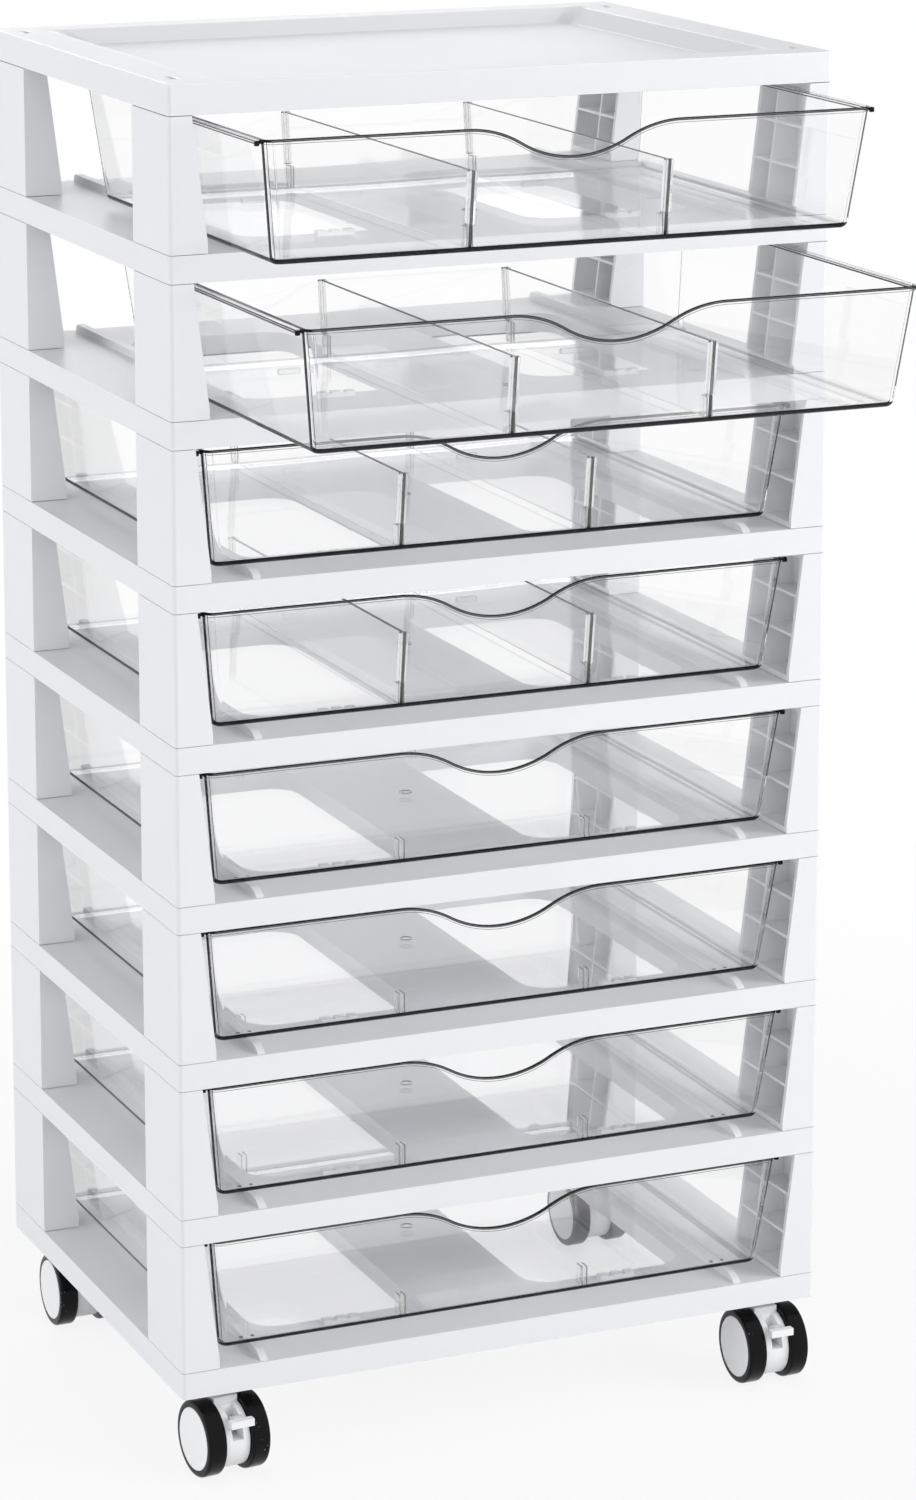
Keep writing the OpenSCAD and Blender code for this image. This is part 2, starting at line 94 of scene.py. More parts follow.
class Wire:
    def __init__(self, paint, socket):
        self.paint, self.socket = paint, socket

    def _math(self, operation, a, b):
        return self.paint.node("ShaderNodeMath", {"operation": operation}, [a, b])

    def __add__(self, other):
        return self._math("ADD", self, other)

    def __sub__(self, other):
        return self._math("SUBTRACT", self, other)

    def __rsub__(self, other):
        return self._math("SUBTRACT", other, self)

    def __mul__(self, other):
        return self._math("MULTIPLY", self, other)

    __radd__ = __add__
    __rmul__ = __mul__


class Paint:
    def __init__(self, tree):
        self.tree = tree

    def node(self, kind, settings=None, inputs=(), output=0):
        made = self.tree.nodes.new(kind)
        for name, value in (settings or {}).items():
            if name == "stops":
                ramp = made.color_ramp
                while len(ramp.elements) < len(value):
                    ramp.elements.new(0.5)
                for stop, (place, colour) in zip(ramp.elements, value):
                    stop.position, stop.color = place, colour
            else:
                setattr(made, name, value)
        pairs = inputs.items() if isinstance(inputs, dict) else enumerate(inputs)
        for key, value in pairs:
            if isinstance(value, Wire):
                self.tree.links.new(value.socket, made.inputs[key])
            elif value is not None:
                made.inputs[key].default_value = value
        self.last = made
        return Wire(self, made.outputs[output]) if made.outputs else None

    def place(self):
        return self.node("ShaderNodeTexCoord", output="Object")

    def noise(self, scale, detail=3.0, rough=0.5):
        return self.node("ShaderNodeTexNoise", {}, {"Vector": self.place(), "Scale": scale,
                                                    "Detail": detail, "Roughness": rough})

    def mix(self, factor, a, b):
        return self.node("ShaderNodeMix", {"data_type": "RGBA"},
                         {"Factor": factor, MIX_A: a, MIX_B: b}, MIX_RESULT)

    def bump(self, height, strength, distance):
        return self.node("ShaderNodeBump", {}, {"Height": height, "Strength": strength,
                                                "Distance": distance})

    def any_ray(self, *kinds):
        self.node("ShaderNodeLightPath")
        found = [Wire(self, self.last.outputs[kind]) for kind in kinds]
        either = found[0]
        for other in found[1:]:
            either = self.node("ShaderNodeMath", {"operation": "MAXIMUM"}, [either, other])
        return either


def material(name):
    made = bpy.data.materials.new(name)
    made.use_nodes = True
    made.node_tree.nodes.clear()
    paint = Paint(made.node_tree)
    return made, paint


def surface(paint, shader):
    paint.node("ShaderNodeOutputMaterial", {}, {"Surface": shader})


# %% [markdown]
# ## White moulded plastic
# The frame is polypropylene: a cool white with a satin skin. The mould leaves a
# very fine texture, and the wall thickness shows as faint, slow changes in gloss
# and tone. A slow noise does the tone, a fine one does the skin, and both stay weak
# because a new white part should look clean. The rounded edges come off the steel
# smoother, so they have a second, glossier white, and it is painted lighter than the
# faces as a painted highlight along the edges.


# %% White plastic
def white_plastic(name, colour, gloss, grain):
    made, paint = material(name)
    slow = paint.noise(9.0, 2.0)
    fine = paint.noise(2600.0, 2.0, 0.6)
    dark = tuple(c * 0.965 for c in colour[:3]) + (1,)
    tone = paint.mix(slow, dark, colour)
    skin = paint.bump(fine, grain, 0.0002)
    shader = paint.node("ShaderNodeBsdfPrincipled", {}, {
        "Base Color": tone, "Roughness": gloss - 0.04 + 0.08 * slow, "Normal": skin,
        "IOR": 1.49, "Specular IOR Level": 0.35})
    surface(paint, shader)
    return made


frame_white = white_plastic("frame_white", (0.86, 0.865, 0.88, 1), 0.42, 0.10)
# the second white is a painted highlight for the rounded edges
frame_edge_highlight = white_plastic("frame_edge_highlight", (0.93, 0.933, 0.94, 1), 0.20, 0.02)
caster_white = white_plastic("caster_white", (0.93, 0.93, 0.93, 1), 0.28, 0.03)

# %% [markdown]
# ## Clear plastic
# The drawers are clear polystyrene. Light passes straight through a flat wall, and
# the wall only shows where it bends: at corners, beads and rims, where the edge of
# the sheet collects the dark of the room. That dark is painted on: besides the clear
# sheet there are three materials of painted shade, a soft grey for thin ribs, a
# deeper grey for fine lines and a near black for the outer edges. Clear plastic casts
# almost no shadow, so shadow rays and bounced light pass through it, a little
# weakened. The floor is the exception: seen at a low angle, thick glass mirrors so
# much that it hides what lies below. It is a film instead, which bends nothing and
# mirrors only a little, more at a lower angle. A film and thick glass must not share
# one bend, or light is trapped between them, so the bends at the far side of the
# floor are film too.


# %% Clear plastic
def clear_plastic(name, colour, rough, transmission, see_through, gloss=0.5):
    made, paint = material(name)
    smear = paint.noise(6.0, 3.0)
    deep = tuple(c * 0.97 for c in colour[:3]) + (1,)
    sheet = paint.node("ShaderNodeBsdfPrincipled", {}, {
        "Base Color": paint.mix(smear, deep, colour), "Roughness": rough + 0.03 * smear,
        "IOR": 1.46, "Transmission Weight": transmission, "Specular IOR Level": gloss})
    passes = paint.any_ray("Is Shadow Ray", "Is Diffuse Ray")
    through = paint.node("ShaderNodeBsdfTransparent", {}, {"Color": (see_through,) * 3 + (1,)})
    surface(paint, paint.node("ShaderNodeMixShader", {}, [passes, sheet, through]))
    return made


clear_sheet = clear_plastic("clear_sheet", (1.0, 1.0, 1.0, 1), 0.0, 1.0, 0.98)
# pale grey, near black and deeper grey: painted shade for the dark that a clear bend shows
clear_painted_pale_grey = clear_plastic("clear_painted_pale_grey", (0.86, 0.87, 0.88, 1), 0.04, 0.95, 0.95)
clear_painted_black = clear_plastic("clear_painted_black", (0.006, 0.006, 0.007, 1), 0.10, 0.15, 0.7, 0.12)
clear_painted_grey = clear_plastic("clear_painted_grey", (0.20, 0.205, 0.21, 1), 0.08, 0.60, 0.8, 0.3)


def clear_film(name, shine):
    made, paint = material(name)
    smear = paint.noise(6.0, 3.0)
    passes = paint.any_ray("Is Shadow Ray", "Is Diffuse Ray")
    mirror = paint.node("ShaderNodeBsdfPrincipled", {}, {
        "Base Color": paint.mix(smear, (0.95, 0.95, 0.96, 1), (1, 1, 1, 1)),
        "Metallic": 1.0, "Roughness": 0.02 + 0.05 * smear})
    through = paint.node("ShaderNodeBsdfTransparent", {}, {"Color": (0.985, 0.986, 0.99, 1)})
    angle = paint.node("ShaderNodeFresnel", {}, {"IOR": 1.46})
    surface(paint, paint.node("ShaderNodeMixShader", {},
                              [shine * angle * (1.0 - passes), through, mirror]))
    return made


clear_floor = clear_film("clear_floor", 0.30)
CLEAR = (clear_sheet, clear_painted_pale_grey, clear_painted_black, clear_painted_grey, clear_floor)
# the second, third and fourth slots hold painted shade, the fifth the floor film
SHEET, PAINTED_PALE_GREY, EDGE, PAINTED_GREY, FLOOR = range(5)

# %% [markdown]
# ## Tyres and steel
# The tyres are glossy black nylon, so the colour is near black, and a few tiny pale
# spots come from a Voronoi pattern. Stems and axles are zinc plated steel, whose
# skin varies a little in tone and gloss.


# %% Tyres and steel
def tyre_black():
    made, paint = material("tyre_black")
    cells = paint.node("ShaderNodeTexVoronoi", {}, {"Vector": paint.place(), "Scale": 420.0})
    pale_dots = paint.node("ShaderNodeValToRGB", {"stops": [(0.0, (1, 1, 1, 1)), (0.17, (0, 0, 0, 1))]},
                      [cells])
    few = paint.node("ShaderNodeValToRGB", {"stops": [(0.52, (0, 0, 0, 1)), (0.62, (1, 1, 1, 1))]},
                     [paint.noise(60.0, 1.0)])
    speck = paint.node("ShaderNodeMath", {"operation": "MULTIPLY"}, [pale_dots, few])
    tone = paint.mix(speck, (0.004, 0.004, 0.0045, 1), (0.45, 0.45, 0.46, 1))
    worn = paint.noise(140.0, 3.0)
    surface(paint, paint.node("ShaderNodeBsdfPrincipled", {}, {
        "Base Color": tone, "Roughness": 0.08 + 0.10 * worn, "IOR": 1.5,
        "Specular IOR Level": 0.13, "Normal": paint.bump(worn, 0.04, 0.0003)}))
    return made


def plated_steel():
    made, paint = material("plated_steel")
    streak = paint.noise(900.0, 2.0)
    surface(paint, paint.node("ShaderNodeBsdfPrincipled", {}, {
        "Base Color": paint.mix(streak, (0.55, 0.56, 0.58, 1), (0.72, 0.73, 0.75, 1)),
        "Metallic": 1.0, "Roughness": 0.25 + 0.15 * streak}))
    return made


black_tyre = tyre_black()
steel = plated_steel()
print("materials:", len(bpy.data.materials))

# %% [markdown]
# ## Working by hand, in code
# The operators act on what is selected, as they do for a person at the screen.
# `pick` selects the parts of a piece that pass a test and leaves it in edit mode.
# `block` adds a cube at its size and place, and `give` hands a piece its materials.
# `done` closes a piece: it puts its origin at the world's, smooths it with the flat
# faces kept flat, and says which body it rides on and what it replaces.


# %% Modelling helpers
def pick(piece, kind, test):
    bpy.ops.object.select_all(action="DESELECT")
    bpy.context.view_layer.objects.active = piece
    piece.select_set(True)
    bpy.ops.object.mode_set(mode="EDIT")
    bpy.context.tool_settings.mesh_select_mode = (kind == "VERT", kind == "EDGE", kind == "FACE")
    bpy.ops.mesh.select_all(action="DESELECT")
    bpy.ops.object.mode_set(mode="OBJECT")
    mesh = piece.data
    points = [v.co for v in mesh.vertices]
    if kind == "VERT":
        found = [v for v in mesh.vertices if test(v.co, v.normal)]
    elif kind == "EDGE":
        found = [e for e in mesh.edges if test((points[e.vertices[0]] + points[e.vertices[1]]) / 2,
                                               points[e.vertices[1]] - points[e.vertices[0]])]
    else:
        found = [f for f in mesh.polygons if test(f.center, f.normal)]
    for item in found:
        item.select = True
    bpy.ops.object.mode_set(mode="EDIT")


def block(name, low, high):
    low, high = Vector(low) * MM, Vector(high) * MM
    bpy.ops.mesh.primitive_cube_add(size=1, location=(low + high) / 2, scale=high - low)
    bpy.ops.object.transform_apply(location=True, rotation=True, scale=True)
    piece = bpy.context.object
    piece.name = name
    return piece


def give(piece, skins):
    for skin in skins:
        piece.data.materials.append(skin)


def round_edges(piece, width, segments=2, angle=35, skin=-1):
    modifier = piece.modifiers.new("round", "BEVEL")
    modifier.width, modifier.segments, modifier.material = width * MM, segments, skin
    modifier.limit_method, modifier.angle_limit = "ANGLE", math.radians(angle)
    modifier.use_clamp_overlap = True
    bpy.context.view_layer.objects.active = piece
    bpy.ops.object.modifier_apply(modifier="round")


def paint_faces(piece, index, test):
    for face in piece.data.polygons:
        if test(face.center / MM, face.normal):
            face.material_index = index


def done(piece, name, body, stands_for, angle=32):
    bpy.ops.object.select_all(action="DESELECT")
    bpy.context.view_layer.objects.active = piece
    piece.select_set(True)
    bpy.ops.object.transform_apply(location=True, rotation=True, scale=True)
    bpy.ops.object.shade_smooth_by_angle(angle=math.radians(angle))
    flat = piece.modifiers.new("flat", "WEIGHTED_NORMAL")
    flat.mode, flat.weight, flat.keep_sharp = "FACE_AREA", 100, True
    bpy.ops.object.modifier_apply(modifier="flat")
    piece.name = piece.data.name = name
    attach(piece, body)
    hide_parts(*stands_for)


def join(pieces):
    bpy.ops.object.select_all(action="DESELECT")
    for piece in pieces:
        piece.select_set(True)
    bpy.context.view_layer.objects.active = pieces[0]
    bpy.ops.object.join()
    return pieces[0]


def copy_of(piece, name, offset):
    made = bpy.data.objects.new(name, piece.data.copy())
    bpy.context.scene.collection.objects.link(made)
    made.data.transform(Matrix.Translation(Vector(offset) * MM))
    return made


# %% [markdown]
# ## Rounded copies of the frame's parts
# The decks and posts already have their right shape, but exact solids have knife
# edges, and moulded parts never do. Two knife edges that meet show no seam at all.
# So each mesh is copied, its loose triangles are merged into whole faces, and a
# small bevel rounds the edges. A post is also made shorter about its own middle, by a
# third of a millimetre at each end, which leaves the fine dark line that the eye reads
# as a joint. Scaling keeps every face flat, where moving its end points would warp it.


# %% Rounded copies
SEAM = 0.32
FRAME_ROUND, CASTER_ROUND = 0.35, 0.5
SAME_POINT = 0.003
SAME_PLANE, SHARP = 0.03, 35


def draw_in_ends(piece):
    half = (TIER - BAND) / 2
    for k in range(1, 9):
        middle = deck_z(k) + BAND + half
        for vertex in piece.data.vertices:
            away = vertex.co.z / MM - middle
            if abs(away) < half + 0.05:
                vertex.co.z = (middle + away * (1 - SEAM / half)) * MM


def rounded_copy(node, width, skins, seams=False):
    piece = bpy.data.objects.new(node + "_rounded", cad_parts[node].data.copy())
    bpy.context.scene.collection.objects.link(piece)
    piece.data.materials.clear()
    give(piece, skins)
    paint_faces(piece, 0, lambda at, n: True)
    pick(piece, "VERT", lambda place, normal: True)
    bpy.ops.mesh.remove_doubles(threshold=SAME_POINT * MM)
    bpy.ops.mesh.dissolve_limited(angle_limit=math.radians(SAME_PLANE))
    bpy.ops.object.mode_set(mode="OBJECT")
    if seams:
        draw_in_ends(piece)
    round_edges(piece, width, 2, SHARP, len(skins) - 1)
    return piece


# the frame's bevels take the second white, the painted edge highlight
WHITES = (frame_white, frame_edge_highlight)
for k in range(1, 9):
    done(rounded_copy(f"deck_{k}", FRAME_ROUND, WHITES), f"Deck_{k}", "tower",
         [f"deck_{k}"])
for corner in ("front_left", "front_right", "back_left", "back_right"):
    done(rounded_copy(f"{corner}_posts", FRAME_ROUND, WHITES, seams=True), f"Posts_{corner}",
         "tower", [f"{corner}_posts"])

# %% [markdown]
# ## The cover and its tray
# The cover is one moulding: a band, a flat edge with four latch slots, and a tray
# with sloping walls and rounded corners. A block is the right start, since every
# later shape grows out of its faces: the top one is inset to the tray's mouth, then
# pushed down and in to make the floor, and the corners of the slope are rounded. The
# bottom one is inset and pushed up, which leaves the band a wall of real thickness.


# %% The cover
MOUTH_ROUND, UPRIGHT_ROUND, COVER_ROUND = 9.0, 2.2, 0.5
COVER_WALL, COVER_HOLLOW = 2.6, 5.2
SLOT_X, SLOT_Y = 167.3, 24.0
SLOT_HALF_X, SLOT_HALF_Y = 1.8, 5.4


def is_upright(place, along):
    return abs(along.z) > 0.004


def tray_cover():
    low, high = deck_z(0), deck_z(0) + COVER
    middle = FRONT + BODY_D / 2
    centre = (0, middle * MM, high * MM)
    piece = block("cover", (-BODY_W / 2, FRONT, low), (BODY_W / 2, FRONT + BODY_D, high))
    give(piece, WHITES)
    # the tray: mouth, then floor
    pick(piece, "FACE", lambda place, normal: normal.z > 0.9)
    bpy.ops.mesh.inset(thickness=TRAY_FRONT * MM)
    wide, deep = BODY_W - 2 * TRAY_SIDE, BODY_D - 2 * TRAY_FRONT
    bpy.ops.transform.resize(value=(wide / (BODY_W - 2 * TRAY_FRONT), 1, 1), center_override=centre)
    bpy.ops.mesh.extrude_region_move(TRANSFORM_OT_translate={"value": (0, 0, -TRAY_DEPTH * MM)})
    bpy.ops.transform.resize(value=(1 - 2 * TRAY_SLOPE / wide, 1 - 2 * TRAY_SLOPE / deep, 1),
                             center_override=centre)
    bpy.ops.object.mode_set(mode="OBJECT")
    pick(piece, "EDGE", lambda place, along: is_upright(place, along)
         and abs(place.x) < (BODY_W / 2 - 10) * MM)
    bpy.ops.mesh.bevel(offset=MOUTH_ROUND * MM, segments=6)
    bpy.ops.object.mode_set(mode="OBJECT")
    # the hollow underside
    pick(piece, "FACE", lambda place, normal: normal.z < -0.9)
    bpy.ops.mesh.inset(thickness=COVER_WALL * MM)
    bpy.ops.mesh.extrude_region_move(TRANSFORM_OT_translate={"value": (0, 0, COVER_HOLLOW * MM)})
    bpy.ops.object.mode_set(mode="OBJECT")
    pick(piece, "EDGE", lambda place, along: is_upright(place, along)
         and abs(place.x) > (BODY_W / 2 - 1) * MM)
    bpy.ops.mesh.bevel(offset=UPRIGHT_ROUND * MM, segments=4)
    bpy.ops.object.mode_set(mode="OBJECT")
    # four latch slots
    for sx in (-1, 1):
        for y in (SLOT_Y, BODY_D - SLOT_Y):
            slot = block("slot", (sx * SLOT_X - SLOT_HALF_X, FRONT + y - SLOT_HALF_Y, low - 1),
                         (sx * SLOT_X + SLOT_HALF_X, FRONT + y + SLOT_HALF_Y, high + 1))
            cut = piece.modifiers.new("slot", "BOOLEAN")
            cut.operation, cut.object, cut.solver = "DIFFERENCE", slot, "EXACT"
            bpy.context.view_layer.objects.active = piece
            bpy.ops.object.modifier_apply(modifier="slot")
            bpy.data.objects.remove(slot)
    # the cover's rounded edges take the second white, a painted highlight
    round_edges(piece, COVER_ROUND, 2, angle=25, skin=1)
    return piece


done(tray_cover(), "Cover", "tower", ["top_cover"], angle=30)

# %% [markdown]
# ## A clear drawer
# A drawer is a tapered box with a thin wall, so it starts as a block whose top is
# widened. The top face goes, the corners and the bottom edge are rounded, and a
# Solidify modifier turns the skin into a real 2 mm wall. The finger dip is made on
# the bare skin, before the wall has thickness: the front's top edge is divided and
# its points follow two arcs. A narrow strip down each rounded corner and along the
# bottom edge gets painted shade, the dark a clear bend shows, which is what makes
# clear plastic readable. It is blackest along the front and the left bend, where the
# eye looks straight into the bend; the back corners get a deeper grey and the right
# bend a pale grey, where more light comes through.


# %% The drawer's shell
CORNER_ROUND, CORNER_STEPS = 5.0, 25
BEND_ROUND, BEND_STEPS = 3.0, 4
DIP_CUTS = 95
TINY = 0.01 * MM


def dip(x):
    x = abs(x)
    if x >= DIP_HALF:
        return 0.0
    half_angle = 2 * math.atan(DIP_DEPTH / DIP_HALF)
    radius = DIP_HALF / 2 / math.sin(half_angle)
    if x < DIP_HALF / 2:
        return DIP_DEPTH - (radius - math.sqrt(radius ** 2 - x ** 2))
    return radius - math.sqrt(radius ** 2 - (DIP_HALF - x) ** 2)


def is_corner(n):
    return abs(abs(n.x) - abs(n.y)) < 0.06 and abs(n.z) < 0.3


def is_bend(at, n, least):
    return at.z < BEND_ROUND + 1 and -0.9 < n.z < -least


def drawer_shell():
    top = DRAWER_H * MM
    piece = block("shell", (-HALF_B, YB0, 0), (HALF_B, BODY_D - YB0, DRAWER_H))
    give(piece, CLEAR)
    pick(piece, "VERT", lambda place, normal: place.z > top / 2)
    bpy.ops.transform.resize(value=(HALF_T / HALF_B, (BODY_D - 2 * YT0) / (BODY_D - 2 * YB0), 1),
                             center_override=(0, BODY_D / 2 * MM, top))
    bpy.ops.object.mode_set(mode="OBJECT")
    pick(piece, "FACE", lambda place, normal: normal.z > 0.9)
    bpy.ops.mesh.delete(type="FACE")
    bpy.ops.object.mode_set(mode="OBJECT")
    pick(piece, "EDGE", lambda place, along: abs(along.z) > 0.01)
    bpy.ops.mesh.bevel(offset=CORNER_ROUND * MM, segments=CORNER_STEPS)
    bpy.ops.object.mode_set(mode="OBJECT")
    pick(piece, "EDGE", lambda place, along: place.z < TINY)
    bpy.ops.mesh.bevel(offset=BEND_ROUND * MM, segments=BEND_STEPS)
    bpy.ops.object.mode_set(mode="OBJECT")
    # the finger dip
    pick(piece, "EDGE", lambda place, along: place.z > top - TINY and place.y < 0.01
         and abs(along.x) > 0.1)
    bpy.ops.mesh.subdivide(number_cuts=DIP_CUTS)
    bpy.ops.object.mode_set(mode="OBJECT")
    for vertex in piece.data.vertices:
        if vertex.co.z > top - TINY and vertex.co.y < YT0 * MM + TINY:
            fall = dip(vertex.co.x / MM)
            vertex.co.z -= fall * MM
            vertex.co.y += fall * LEAN * MM
    # painted shade strips: upright corners, then the bend of the bottom edge; black at the front and
    # left, greyer at the back and right
    middle = BODY_D / 2
    paint_faces(piece, EDGE, lambda at, n: is_corner(n) and at.y < middle)
    paint_faces(piece, PAINTED_GREY, lambda at, n: is_corner(n) and at.y > middle)
    paint_faces(piece, PAINTED_PALE_GREY, lambda at, n: is_bend(at, n, 0.7) and n.x > abs(n.y))
    paint_faces(piece, EDGE, lambda at, n: is_bend(at, n, 0.15) and n.x < -abs(n.y))
    paint_faces(piece, EDGE, lambda at, n: is_bend(at, n, 0.2) and n.y < -0.1
                and abs(n.x) < 1.4 * abs(n.y))
    return piece


# %% [markdown]
# The rim is a bead with a fine line under it. Only the front and back top edges of
# the skin are kept, made a curve, and given a round section, so the rim follows the
# dip exactly. The tube's end caps come loose, and merging doubled points closes them.
# The same path, a little lower and thinner, makes the line under it. The sides have a
# flat flange instead, which hangs over the wall and ends in a nib at the front. Their
# colours are painted shade: the front bead near black with a grey middle, the back
# bead and the fine line grey, and the flange's edges and the nib dark.


# %% Rims
BEAD, BEAD_IN, BACK_BEAD, BEAD_DOWN = 0.72, 0.45, 0.5, 0.1
FINE, FINE_IN, FINE_DOWN = 0.14, 1.5 * LEAN, 1.7
LOOSE_CAP = 0.001
FLANGE_IN, FLANGE_OUT, FLANGE_T, FLANGE_END = 0.6, 3.4, 1.7, 4.5
NIB_IN, NIB_FROM, NIB_TO, NIB_DOWN = 0.9, 3.6, 5.2, 2.6


def rim_path(shell, front):
    limit = (YT0 + CORNER_ROUND + 2) * MM
    bpy.ops.object.select_all(action="DESELECT")
    made = bpy.data.objects.new("rim", shell.data.copy())
    bpy.context.scene.collection.objects.link(made)
    # an edge that only one face uses lies on the open rim
    uses = {}
    for face in made.data.polygons:
        for key in face.edge_keys:
            uses[key] = uses.get(key, 0) + 1
    keep = set()
    for edge in made.data.edges:
        y = sum(made.data.vertices[i].co.y for i in edge.vertices) / 2
        if uses.get(edge.key, 0) == 1 and (y < limit if front else y > BODY_D * MM - limit):
            keep.add(edge.index)
    pick(made, "EDGE", lambda place, along: False)
    bpy.ops.object.mode_set(mode="OBJECT")
    for edge in made.data.edges:
        edge.select = edge.index not in keep
    bpy.ops.object.mode_set(mode="EDIT")
    bpy.ops.mesh.delete(type="EDGE")
    bpy.ops.object.mode_set(mode="OBJECT")
    return made


def round_line(path, radius, shift, index, sides):
    made = copy_of(path, "line", shift)
    bpy.ops.object.select_all(action="DESELECT")
    bpy.context.view_layer.objects.active = made
    made.select_set(True)
    bpy.ops.object.convert(target="CURVE")
    curve = bpy.context.object
    curve.data.bevel_depth, curve.data.bevel_resolution = radius * MM, sides
    curve.data.use_fill_caps = True
    bpy.ops.object.convert(target="MESH")
    made = bpy.context.object
    pick(made, "VERT", lambda place, normal: True)
    bpy.ops.mesh.remove_doubles(threshold=LOOSE_CAP * MM)
    bpy.ops.mesh.normals_make_consistent(inside=False)
    bpy.ops.object.mode_set(mode="OBJECT")
    made.data.materials.clear()
    give(made, CLEAR)
    paint_faces(made, index, lambda at, n: True)
    return made


def front_rim(shell):
    path = rim_path(shell, front=True)
    rim = round_line(path, BEAD, (0, BEAD_IN, -BEAD_DOWN), EDGE, sides=6)
    paint_faces(rim, PAINTED_GREY, lambda at, n: abs(n.y) > 0.93)
    under = round_line(path, FINE, (0, FINE_IN, -FINE_DOWN), PAINTED_GREY, sides=1)
    bpy.data.objects.remove(path)
    return [rim, under]


def back_rim(shell):
    path = rim_path(shell, front=False)
    rim = round_line(path, BACK_BEAD, (0, 0, -BEAD_DOWN), PAINTED_GREY, sides=3)
    bpy.data.objects.remove(path)
    return [rim]


def flange(side):
    x0, x1 = sorted((side * (HALF_T - FLANGE_IN), side * (HALF_T + FLANGE_OUT)))
    piece = block("flange", (x0, YT0 + FLANGE_END, DRAWER_H - FLANGE_T),
                  (x1, BODY_D - YT0 - FLANGE_END, DRAWER_H))
    give(piece, CLEAR)
    round_edges(piece, 0.4, 2)
    # painted dark shade on the flange's edges and on the nib
    paint_faces(piece, EDGE, lambda at, n: abs(n.x) > 0.3 and abs(n.z) > 0.3)
    x0, x1 = sorted((side * (HALF_T + NIB_IN), side * (HALF_T + FLANGE_OUT)))
    nib = block("nib", (x0, YT0 + NIB_FROM, DRAWER_H - NIB_DOWN), (x1, YT0 + NIB_TO, DRAWER_H))
    give(nib, CLEAR)
    round_edges(nib, 0.5, 2)
    paint_faces(nib, EDGE, lambda at, n: n.z < 0.8)
    return [piece, nib]


# %% [markdown]
# ## Small details of the drawer
# Under the floor run two pairs of guide ribs that straddle the rails, and two catch
# lugs that stop the drawer. Inside are short clips for the dividers and the round
# mark where the plastic was injected. The mark is a disc with a sunken face, and the
# rest are blocks with rounded edges. The ribs' tips, the clips' outer edges and the
# ring of the mark get painted dark shade, and the lugs a pale painted shade.


# %% Drawer details
RIB_OFF, RIB_HALF, RIB_DEEP, RIB_END = 2.9, 0.6, 2.4, 12.0
TIP_HALF, TIP_DEEP = 1.05, 0.8
LUG_HALF, LUG_DEEP, LUG_Y, LUG_T = 6.0, 2.9, 229.6, 3.0
CLIP_OFF, CLIP_HALF, CLIP_LONG, CLIP_TOP = 1.35, 0.35, 6.5, 12.6
GATE_R, GATE_T, GATE_RING, GATE_SUNK = 3.4, 0.4, 0.9, 0.25


def clear_block(low, high, index=SHEET, width=0.3, edge=None, edge_skin=EDGE):
    piece = block("detail", low, high)
    give(piece, CLEAR)
    round_edges(piece, width, 1)
    paint_faces(piece, index, lambda at, n: True)
    if edge:
        paint_faces(piece, edge_skin, edge)
    return piece


def gate_mark():
    middle = (0, BODY_D / 2 * MM, (WALL + GATE_T / 2) * MM)
    bpy.ops.mesh.primitive_cylinder_add(vertices=28, radius=GATE_R * MM, depth=GATE_T * MM,
                                        location=middle)
    gate = bpy.context.object
    bpy.ops.object.transform_apply(location=True, rotation=True, scale=True)
    give(gate, CLEAR)
    pick(gate, "FACE", lambda place, normal: normal.z > 0.9)
    bpy.ops.mesh.inset(thickness=GATE_RING * MM)
    bpy.ops.mesh.extrude_region_move(TRANSFORM_OT_translate={"value": (0, 0, -GATE_SUNK * MM)})
    bpy.ops.object.mode_set(mode="OBJECT")
    paint_faces(gate, FLOOR, lambda at, n: True)
    # the ring's sides are painted grey shade
    paint_faces(gate, PAINTED_GREY, lambda at, n: abs(n.z) < 0.5)
    return gate


def drawer_details():
    made = [gate_mark()]
    for s in (-1, 1):
        for t in (-RIB_OFF, RIB_OFF):
            x = s * RAIL_X + t
            made.append(clear_block((x - RIB_HALF, YB0 + RIB_END, -RIB_DEEP),
                                    (x + RIB_HALF, BODY_D - YB0 - RIB_END, 0), FLOOR))
            x = s * RAIL_X + 1.08 * t
            made.append(clear_block((x - TIP_HALF, YB0 + RIB_END - 0.4, -TIP_DEEP),
                                    (x + TIP_HALF, YB0 + RIB_END + 1.4, 0), EDGE))
        made.append(clear_block((s * COMB_X - LUG_HALF, LUG_Y, -LUG_DEEP),
                                (s * COMB_X + LUG_HALF, LUG_Y + LUG_T, 0), PAINTED_PALE_GREY))
        for t in (-1, 1):
            x = s * DIVIDER_X + t * CLIP_OFF
            for y in (YB0 + 1.9, BODY_D - YB0 - 1.9 - CLIP_LONG):
                made.append(clear_block((x - CLIP_HALF, y, WALL),
                                        (x + CLIP_HALF, y + CLIP_LONG, CLIP_TOP), SHEET, 0.15,
                                        lambda at, n: abs(n.y) > 0.3 and t * n.x > 0.3, PAINTED_GREY))
    return made


# %% [markdown]
# The wall is made last, because the rims need the bare skin's edge. Solidify adds its
# new faces after the old ones, so the inside can be given the plain clear sheet by
# counting. The floor becomes film, together with the bends at its back and its right.
# One finished drawer is then copied eight times, each with its own mesh.

# %% Put a drawer together
def solid_wall(shell):
    wall = shell.modifiers.new("wall", "SOLIDIFY")
    wall.thickness, wall.offset = WALL * MM, -1
    wall.use_even_offset = True
    bpy.context.view_layer.objects.active = shell
    bpy.ops.object.modifier_apply(modifier="wall")


shell = drawer_shell()
rims = front_rim(shell) + back_rim(shell)
skin_faces = len(shell.data.polygons)
solid_wall(shell)
for face in shell.data.polygons[skin_faces:]:
    face.material_index = SHEET


FILM_TOP, FILM_BEND = 3.4, 4.5


